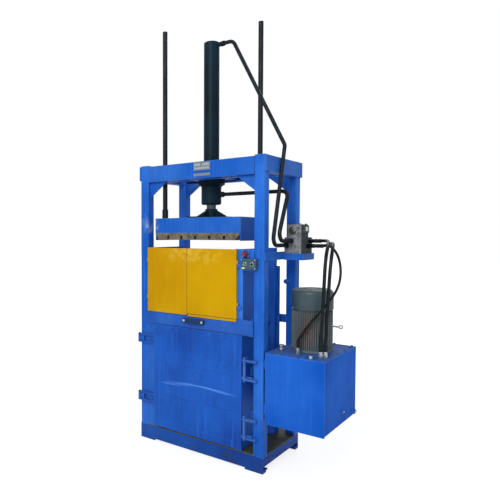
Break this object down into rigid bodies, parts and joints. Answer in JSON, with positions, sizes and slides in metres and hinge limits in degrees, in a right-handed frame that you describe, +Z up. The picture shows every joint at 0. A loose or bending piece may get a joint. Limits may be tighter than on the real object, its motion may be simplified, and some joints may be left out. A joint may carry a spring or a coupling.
{
  "type": "recycling baler",
  "caption": "Upright hydraulic baling press with a tall cylinder, a guided platen, feed leaves, a latched bale door and a side power unit.",
  "frame": {"origin": "middle of the footprint on the floor, under the frame and the tank together", "axes": "+Z up, +Y towards the back, -Y the doors' side, +X towards the oil tank"},
  "size_m": [1.522, 0.597, 3.102],
  "materials": {
    "blue_paint": "glossy enamel, worn and rusted at edges",
    "yellow_paint": "glossy enamel, scuffed",
    "dark_enamel": "dark blue-black enamel",
    "black_steel": "oiled dark steel",
    "bright_steel": "zinc plated, satin",
    "chrome_rod": "hard chrome",
    "rusty_steel": "bare steel, brown rust",
    "floor_steel": "worn paint with dust and rust",
    "bronze": "turned bronze",
    "motor_grey": "grey-green enamel",
    "valve_metal": "bare machined blocks, oily",
    "hose_rubber": "matte black",
    "box_plastic": "dark moulded plastic",
    "red_plastic": "glossy",
    "green_plastic": "glossy",
    "black_plastic": "glossy"
  },
  "bodies": {
    "frame": {"base_frame": "blue_paint", "corner_posts": "blue_paint", "top_ring": "blue_paint", "corner_gussets": "blue_paint", "cylinder_mount": "blue_paint", "guide_bushes": "bronze", "left_wall": "blue_paint", "right_wall": "blue_paint", "rear_wall": "blue_paint", "rear_rails": "blue_paint", "chamber_floor": "floor_steel", "belt_beam": "blue_paint", "sill_strip": "yellow_paint", "belt_handle": "dark_enamel", "valve_rail": "blue_paint", "hinge_knuckles": "blue_paint", "hinge_pins": "black_steel", "latch_lugs": "blue_paint", "control_box": "box_plastic", "cylinder_barrel": "dark_enamel", "cylinder_head": "dark_enamel", "flange_bolts": "black_steel", "cap_pipe": "black_steel", "gland_pipe": "black_steel", "valve_manifold": "valve_metal", "directional_valve": "valve_metal", "hose_fittings": "bright_steel", "pressure_hose": "hose_rubber", "return_hose": "hose_rubber", "pilot_hose": "hose_rubber", "oil_tank": "blue_paint", "tank_lid": "blue_paint", "filler_cap": "bright_steel", "motor_body": "motor_grey", "eye_bolt": "bright_steel", "fan_cowl": "motor_grey", "bell_housing": "motor_grey", "gear_pump": "bright_steel", "suction_strainer": "bronze", "delivery_pipe": "bright_steel"},
    "press_ram": {"piston": "black_steel", "piston_rod": "chrome_rod", "rod_foot": "dark_enamel", "platen": "blue_paint", "press_face": "rusty_steel", "guide_rods": "black_steel", "rod_collars": "black_steel"},
    "left_leaf": {"feed_leaf_left": "yellow_paint"},
    "right_leaf": {"feed_leaf_right": "yellow_paint"},
    "bale_door": {"lower_door": "blue_paint", "door_straps": "blue_paint"},
    "upper_latch": {"latch_upper": "bright_steel"},
    "lower_latch": {"latch_lower": "bright_steel"},
    "stop_button": {"estop_button": "red_plastic"},
    "raise_button": {"up_button": "green_plastic"},
    "lower_button": {"down_button": "black_plastic"},
    "rotor": {"motor_rotor": "black_steel", "cooling_fan": "black_plastic", "shaft_coupling": "black_steel", "pump_shaft": "bright_steel"}
  },
  "joints": [
    {"name": "press_slide", "type": "slide", "parent": "frame", "child": "press_ram", "axis": [0, 0, -1], "range_m": [0, 0.905]},
    {"name": "feed_leaf_left_hinge", "type": "hinge", "parent": "frame", "child": "left_leaf", "pos_m": [-0.6575, -0.267, 1.24], "axis": [0, 0, -1], "range_deg": [0, 110]},
    {"name": "feed_leaf_right_hinge", "type": "hinge", "parent": "frame", "child": "right_leaf", "pos_m": [0.1325, -0.267, 1.24], "axis": [0, 0, 1], "range_deg": [0, 95]},
    {"name": "bale_door_hinge", "type": "hinge", "parent": "frame", "child": "bale_door", "pos_m": [-0.7375, -0.27, 0.558], "axis": [0, 0, -1], "range_deg": [0, 120]},
    {"name": "upper_latch_turn", "type": "hinge", "parent": "frame", "child": "upper_latch", "pos_m": [0.1905, -0.27, 0.678], "axis": [0, 0, -1], "range_deg": [0, 180]},
    {"name": "lower_latch_turn", "type": "hinge", "parent": "frame", "child": "lower_latch", "pos_m": [0.1905, -0.27, 0.283], "axis": [0, 0, -1], "range_deg": [0, 180]},
    {"name": "stop_push", "type": "slide", "parent": "frame", "child": "stop_button", "axis": [0, 1, 0], "range_m": [0, 0.006]},
    {"name": "raise_push", "type": "slide", "parent": "frame", "child": "raise_button", "axis": [0, 1, 0], "range_m": [0, 0.004], "stiffness_N_per_m": 400},
    {"name": "lower_push", "type": "slide", "parent": "frame", "child": "lower_button", "axis": [0, 1, 0], "range_m": [0, 0.004], "stiffness_N_per_m": 400},
    {"name": "rotor_spin", "type": "hinge", "parent": "frame", "child": "rotor", "pos_m": [0.5365, 0.0235, 0.95], "axis": [0, 0, 1], "continuous": true}
  ]
}
